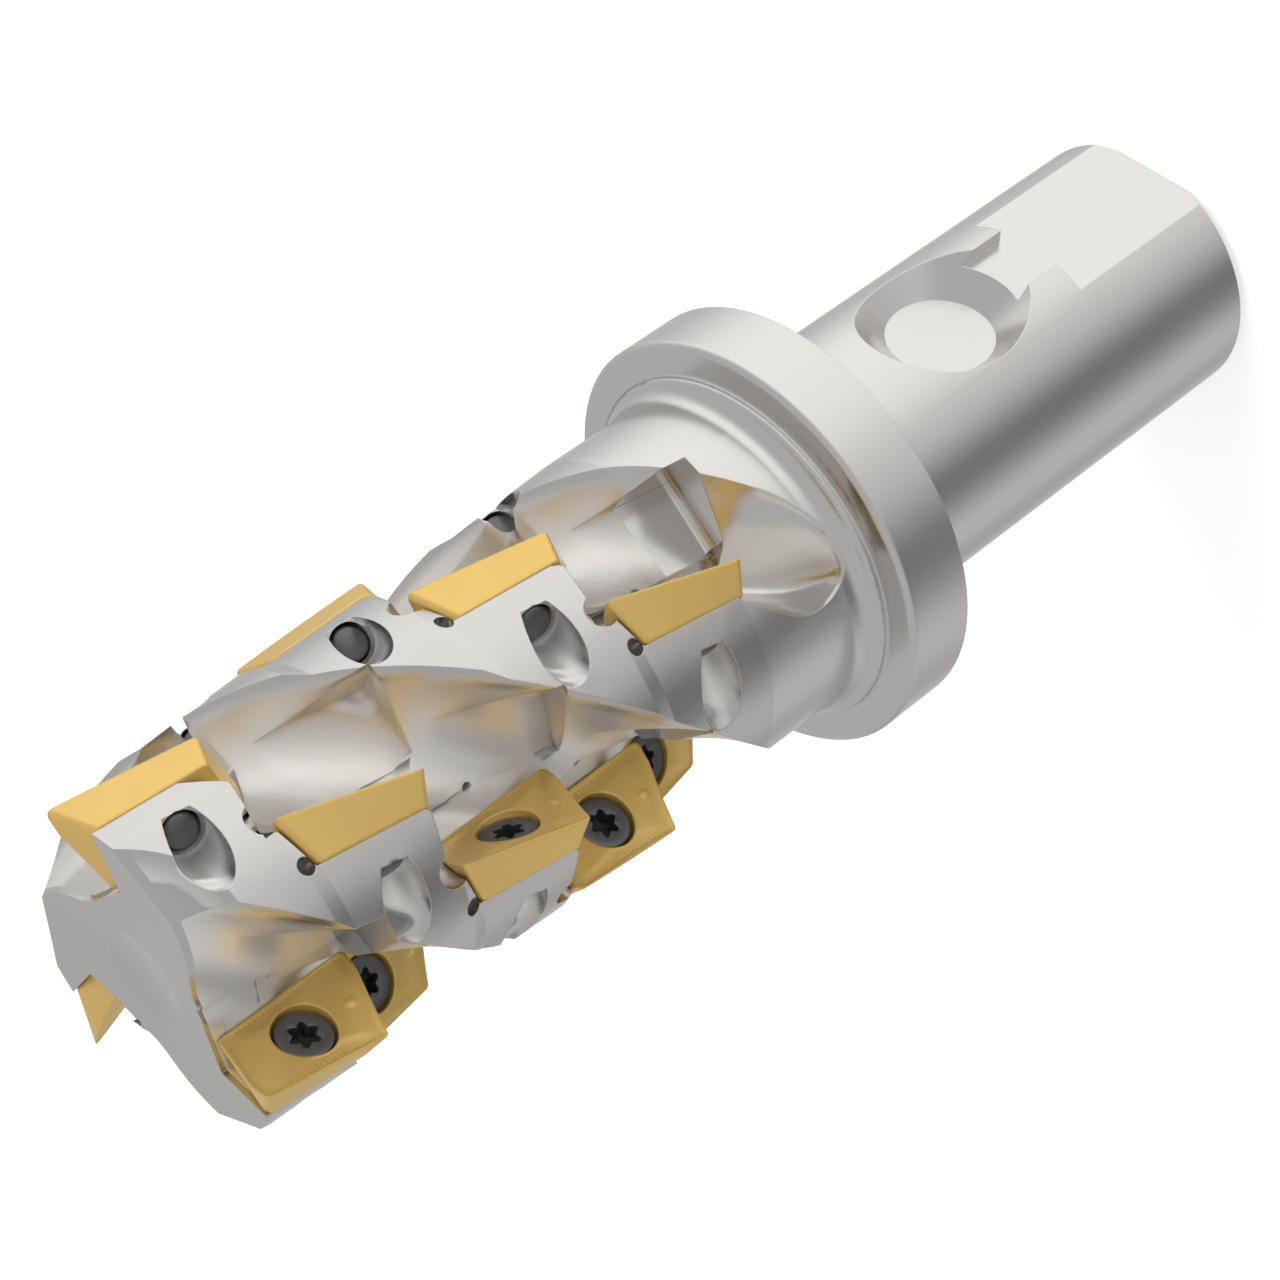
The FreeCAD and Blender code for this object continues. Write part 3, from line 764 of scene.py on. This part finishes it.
# %% Insert mesh
def ring_mesh(name, rings):
    """A closed skin of quads through the rings, the last joined to the first."""
    count = len(rings[0])
    points = np.concatenate(rings) * MM
    quads = []
    for level in range(len(rings)):
        here, above = level * count, (level + 1) % len(rings) * count
        for index in range(count):
            after = (index + 1) % count
            quads.append((here + index, here + after, above + after, above + index))
    mesh = bpy.data.meshes.new(name)
    mesh.from_pydata(points.tolist(), [], quads)
    mesh.shade_smooth()
    mesh.update()
    return mesh


insert_mesh = ring_mesh("insert", rings)
print("insert quads:", len(insert_mesh.polygons))

# %% [markdown]
# Every insert has its own place in the body: the rows step back along the
# helix, and the three flutes are unevenly spaced. The place is written the way
# the pockets are cut, as three directions (along the insert, outward and off
# the seat) and the middle of the seat, turned about the tool's axis. Each insert
# gets its own copy of the mesh with its place worked into the points, so that
# its box can be compared with that of the construction model.

# %% Places of the inserts, in degrees and millimetres
SEAT_RADIAL = 14.45
SEAT_BACK = 6.4
SEAT_BELOW_TOP = 8.435
FIRST_ROW_TURN = 50.5
FIRST_ROW_TOP = 153.99
FIRST_ROW_LIFT = 0.12
FIRST_ROW_WAYS = ((0.014, 0.149, 0.989), (0.996, -0.089, 0.0))
OTHER_ROW_WAYS = ((0.006, 0.135, 0.991), (0.998, -0.070, 0.004))


def seat_place(flute, row):
    """Matrix that carries the insert from its own directions to its pocket."""
    if row == 1:
        turn = FLUTE_TURN[flute] + FIRST_ROW_TURN
        height = FIRST_ROW_TOP - SEAT_BELOW_TOP + FIRST_ROW_LIFT
        ways = FIRST_ROW_WAYS
    else:
        turn = FLUTE_TURN[flute] - (row - 2) * ROW_TURN
        height = SECOND_ROW - (row - 2) * ROW_PITCH - SEAT_BELOW_TOP + FLUTE_SHIFT[flute]
        ways = OTHER_ROW_WAYS
    along, outward = Vector(ways[0]), Vector(ways[1])
    along.normalize()
    normal = along.cross(outward).normalized()
    outward = normal.cross(along)
    local = Matrix((along, outward, normal)).transposed().to_4x4()
    local.translation = Vector((SEAT_RADIAL, -SEAT_BACK, height)) * MM
    return Matrix.Rotation(math.radians(turn), 4, "Z") @ local


# %% Insert pieces
def gap_to_node(piece, node):
    """Largest difference between the piece's box and its node's box, in millimetres."""
    points = [vertex.co for vertex in piece.data.vertices]
    low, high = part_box(node)
    worst = 0.0
    for axis in range(3):
        values = [point[axis] for point in points]
        worst = max(worst, abs(min(values) - low[axis]), abs(max(values) - high[axis]))
    return worst / MM


inserts = {}
for flute in range(3):
    for row in range(1, 6):
        node = "insert_" + "abc"[flute] + str(row)
        mesh = insert_mesh.copy()
        mesh.transform(seat_place(flute, row))
        piece = bpy.data.objects.new("coated_" + node, mesh)
        bpy.context.scene.collection.objects.link(piece)
        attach(piece, "root")
        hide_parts(node)
        inserts[node] = piece
bpy.context.view_layer.update()
largest = max(gap_to_node(piece, node) for node, piece in inserts.items())
print("largest gap to the CAD insert:", round(largest, 3), "mm")

# %% [markdown]
# ## Gold coating
#
# The inserts are pressed carbide with a hard gold coating a few thousandths of a
# millimetre thick. In the photograph it is rather matte, so the shader is only
# partly metallic and rougher than the steel, with a fine pressed grain. A share
# of plain colour keeps the faces gold that mirror only pale cards.

# %% Gold
GOLD = (0.83, 0.57, 0.18)
GOLD_DRIFT_SCALE = 220.0
GOLD_GRAIN_SCALE = 5200.0


def gold_material():
    material, tree = new_material("gold_coating")
    shader = principled(tree, GOLD, 0.72, 0.4)
    place = add(tree, "ShaderNodeTexCoord").outputs["Object"]
    grain = noise(tree, place, GOLD_GRAIN_SCALE, 2.0)
    drift = noise_between(tree, noise(tree, place, GOLD_DRIFT_SCALE, 2.0), 0.36, 0.43)
    roughness = math_node(tree, "ADD", drift, noise_between(tree, grain, -0.03, 0.03))
    join(tree, roughness, shader.inputs["Roughness"])
    edge = add(tree, "ShaderNodeBevel", samples=4, in_Radius=0.3 * MM)
    finish_normal(tree, shader, grain, 0.08, edge.outputs[0])
    return material


gold = gold_material()
for piece in inserts.values():
    piece.data.materials.append(gold)
wear(gold, *inserts)
print("gold inserts:", len(inserts))

# %% [markdown]
# ## Black screws
#
# A screw is turned, so its skin is a stack of rings about its axis. From the
# tip the rings run up the shank, out along the cone to the head, in over the
# head's rounded rim and down the six lobed recess. Only the recess rings are
# not round: their radius waves six times in a turn. The screws are hardened
# steel with a black oxide finish, which is dark but still shines softly.

# %% Screw sizes, in millimetres
HEAD_RADIUS = 2.98
HEAD_TOP = 3.72
HEAD_RIM = 3.29
SHANK_RADIUS = 1.9
TIP_HEIGHT = -2.9
LOBE_MIDDLE = 1.42
LOBE_WAVE = 0.27
RECESS_FLOOR = 2.0
RECESS_OUTSIDE = 1.75
TURN_POINTS = 96

# %% Rings of a screw
def screw_rings():
    """The rings of one screw in the directions of its insert."""
    angles = np.arange(TURN_POINTS) * 2 * math.pi / TURN_POINTS
    circle = np.column_stack((np.cos(angles), np.sin(angles)))
    star = circle * (LOBE_MIDDLE + LOBE_WAVE * np.cos(6 * angles)).reshape(-1, 1)
    round_rings = (
        # radius, height: tip and shank, then cone and head
        (0.001, TIP_HEIGHT), (0.03, TIP_HEIGHT), (SHANK_RADIUS - 0.4, TIP_HEIGHT),
        (SHANK_RADIUS, TIP_HEIGHT + 0.35), (SHANK_RADIUS, HEAD_RIM - 1.75),
        (2.05, HEAD_RIM - 1.55), (HEAD_RADIUS - 0.1, HEAD_RIM - 0.1),
        (HEAD_RADIUS, HEAD_RIM + 0.05), (HEAD_RADIUS, HEAD_TOP - 0.16),
        (HEAD_RADIUS - 0.05, HEAD_TOP - 0.05), (HEAD_RADIUS - 0.17, HEAD_TOP), (2.3, HEAD_TOP),
    )
    star_rings = (
        # scale, height: rim and walls of the recess, then its floor
        (1.05, HEAD_TOP), (1.01, HEAD_TOP - 0.03), (1.0, HEAD_TOP - 0.1), (0.99, HEAD_TOP - 0.4),
        (0.97, RECESS_FLOOR + 0.05), (0.94, RECESS_FLOOR), (0.02, RECESS_FLOOR),
        (0.001, RECESS_FLOOR),
    )
    made = [ring_at(circle * radius, height) for radius, height in round_rings]
    made += [ring_at(star * scale, height) for scale, height in star_rings]
    return made


screw_mesh = ring_mesh("screw", screw_rings())
print("screws:", len(screw_mesh.vertices), "points each")

# %% [markdown]
# The recess gets a second material, by the index of its faces: painted shade, a near
# black colour that stands in for the shade deep inside it. Then each row's three
# screws are joined in one piece.

# %% Screw materials
BLACK = (0.16, 0.16, 0.168)
# Painted shade: the recess colour is near black for the shade deep inside the recess.
RECESS_SHADE_COLOUR = (0.03, 0.03, 0.032)
BLACK_GRAIN_SCALE = 3800.0


def black_material():
    material, tree = new_material("black_oxide")
    shader = principled(tree, BLACK, 0.85, 0.4)
    place = add(tree, "ShaderNodeTexCoord").outputs["Object"]
    grain = noise(tree, place, BLACK_GRAIN_SCALE)
    join(tree, noise_between(tree, grain, 0.34, 0.46), shader.inputs["Roughness"])
    edge = add(tree, "ShaderNodeBevel", samples=4, in_Radius=0.1 * MM)
    finish_normal(tree, shader, grain, 0.1, edge.outputs[0])
    return material


def recess_shade_material():
    """Painted shade for the deep recess: matte, and darker than the head."""
    material, tree = new_material("recess_painted_shade")
    shader = principled(tree, RECESS_SHADE_COLOUR, 0.0, 0.6)
    place = add(tree, "ShaderNodeTexCoord").outputs["Object"]
    grain = noise(tree, place, BLACK_GRAIN_SCALE)
    join(tree, noise_between(tree, grain, 0.5, 0.7), shader.inputs["Roughness"])
    return material


def in_recess(corners):
    """Whether a quad belongs to the recess: near the axis, from its floor up to the rim."""
    near = all(math.hypot(co.x, co.y) < RECESS_OUTSIDE * MM for co in corners)
    lowest = min(co.z for co in corners)
    return near and (RECESS_FLOOR - 0.01) * MM < lowest < (HEAD_TOP - 0.05) * MM


black = black_material()
recess = recess_shade_material()
# Quads of the recess get the second material, the painted shade.
for quad in screw_mesh.polygons:
    corners = [screw_mesh.vertices[corner].co for corner in quad.vertices]
    quad.material_index = 1 if in_recess(corners) else 0
print("recess quads:", sum(quad.material_index for quad in screw_mesh.polygons))

# %% Screw pieces
def joined_copies(name, mesh, places):
    """One mesh with a copy of another at each place."""
    together = bmesh.new()
    for place in places:
        copy = mesh.copy()
        copy.transform(place)
        together.from_mesh(copy)
        bpy.data.meshes.remove(copy)
    made = bpy.data.meshes.new(name)
    together.to_mesh(made)
    together.free()
    made.shade_smooth()
    return made


for row in range(1, 6):
    node = "screws_row_" + str(row)
    places = [seat_place(flute, row) for flute in range(3)]
    mesh = joined_copies("black_" + node, screw_mesh, places)
    mesh.materials.append(black)
    # The second slot holds the painted shade of the recess.
    mesh.materials.append(recess)
    piece = bpy.data.objects.new("black_" + node, mesh)
    bpy.context.scene.collection.objects.link(piece)
    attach(piece, "root")
    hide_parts(node)
    print(piece.name, len(mesh.polygons), "quads")
wear(black, *[name for name in nodes if name.startswith("screws_")])
